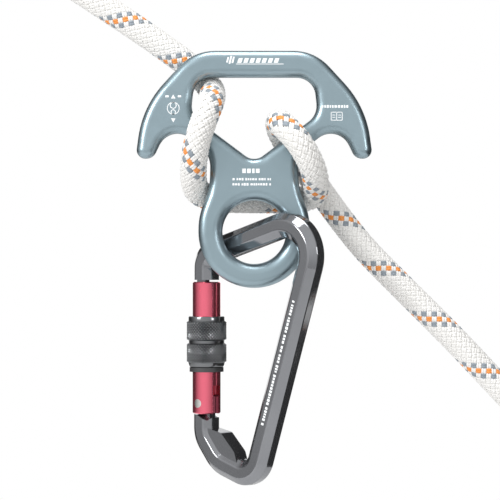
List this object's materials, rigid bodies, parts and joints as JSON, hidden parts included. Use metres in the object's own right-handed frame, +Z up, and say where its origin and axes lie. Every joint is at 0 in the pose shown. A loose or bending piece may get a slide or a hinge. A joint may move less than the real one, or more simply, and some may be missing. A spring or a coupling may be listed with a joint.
{
  "type": "rope descender",
  "caption": "Flat eared rescue-eight descender reeved on a short sewn-eye rope, with a screw-sleeve karabiner hanging in its ring.",
  "frame": {"origin": "centre of the upper thimble's bore, where an anchor holds the part", "axes": "+Z up as the part hangs, +X to the right of the plate's front, the front faces -Y and +Y is the axis of the thimbles and of the plate's ring"},
  "size_m": [0.3204, 0.0548, 0.2968],
  "materials": {
    "plate_anodised": "blue-grey anodised, satin",
    "rope_sheath": "white braided sheath with grey and orange tracers",
    "thimble_steel": "brushed stainless steel",
    "collar_rubber": "black moulded rubber, matt",
    "frame_black": "black anodised, polished",
    "gate_red": "red anodised, bright",
    "pin_steel": "stainless steel",
    "foot_nylon": "black nylon",
    "sleeve_black": "black anodised, knurled"
  },
  "bodies": {
    "descender": {"descender_plate": "plate_anodised", "rope": "rope_sheath", "upper_rope_eye": "rope_sheath", "upper_thimble": "thimble_steel", "upper_eye_collar": "collar_rubber", "lower_rope_eye": "rope_sheath", "lower_thimble": "thimble_steel", "lower_eye_collar": "collar_rubber"},
    "karabiner": {"karabiner_frame": "frame_black"},
    "gate": {"gate_barrel": "gate_red", "gate_rivet": "pin_steel", "latch_pin": "pin_steel", "gate_spring": "pin_steel"},
    "plunger": {"gate_plunger": "pin_steel"},
    "sleeve_foot": {"sleeve_foot_ring": "foot_nylon"},
    "sleeve": {"lock_sleeve": "sleeve_black"}
  },
  "joints": [
    {"name": "karabiner_swing", "type": "hinge", "parent": "descender", "child": "karabiner", "pos_m": [0.1234, -0.0125, -0.1402], "axis": [0, 1, 0], "range_deg": [-45, 20]},
    {"name": "gate_open", "type": "hinge", "parent": "karabiner", "child": "gate", "pos_m": [0.10142, 0.00595, -0.219], "axis": [0.6428, 0.766, 0], "range_deg": [0, 26], "stiffness_Nm_per_rad": 0.25, "springref_deg": -20.05},
    {"name": "plunger_slide", "type": "slide", "parent": "gate", "child": "plunger", "axis": [0, 0, 1], "range_m": [0, 0.00091], "deforming": ["gate_spring"]},
    {"name": "sleeve_travel", "type": "slide", "parent": "gate", "child": "sleeve_foot", "axis": [0, 0, 1], "range_m": [0, 0.018]},
    {"name": "sleeve_turn", "type": "hinge", "parent": "sleeve_foot", "child": "sleeve", "pos_m": [0.10142, 0.00595, -0.219], "axis": [0, 0, 1], "range_deg": [0, 2602]}
  ],
  "couplings": [
    {"joint": "plunger_slide", "follows": "gate_open", "m_per_rad": 0.0019833},
    {"joint": "sleeve_turn", "follows": "sleeve_travel", "rad_per_m": 2513.3}
  ]
}
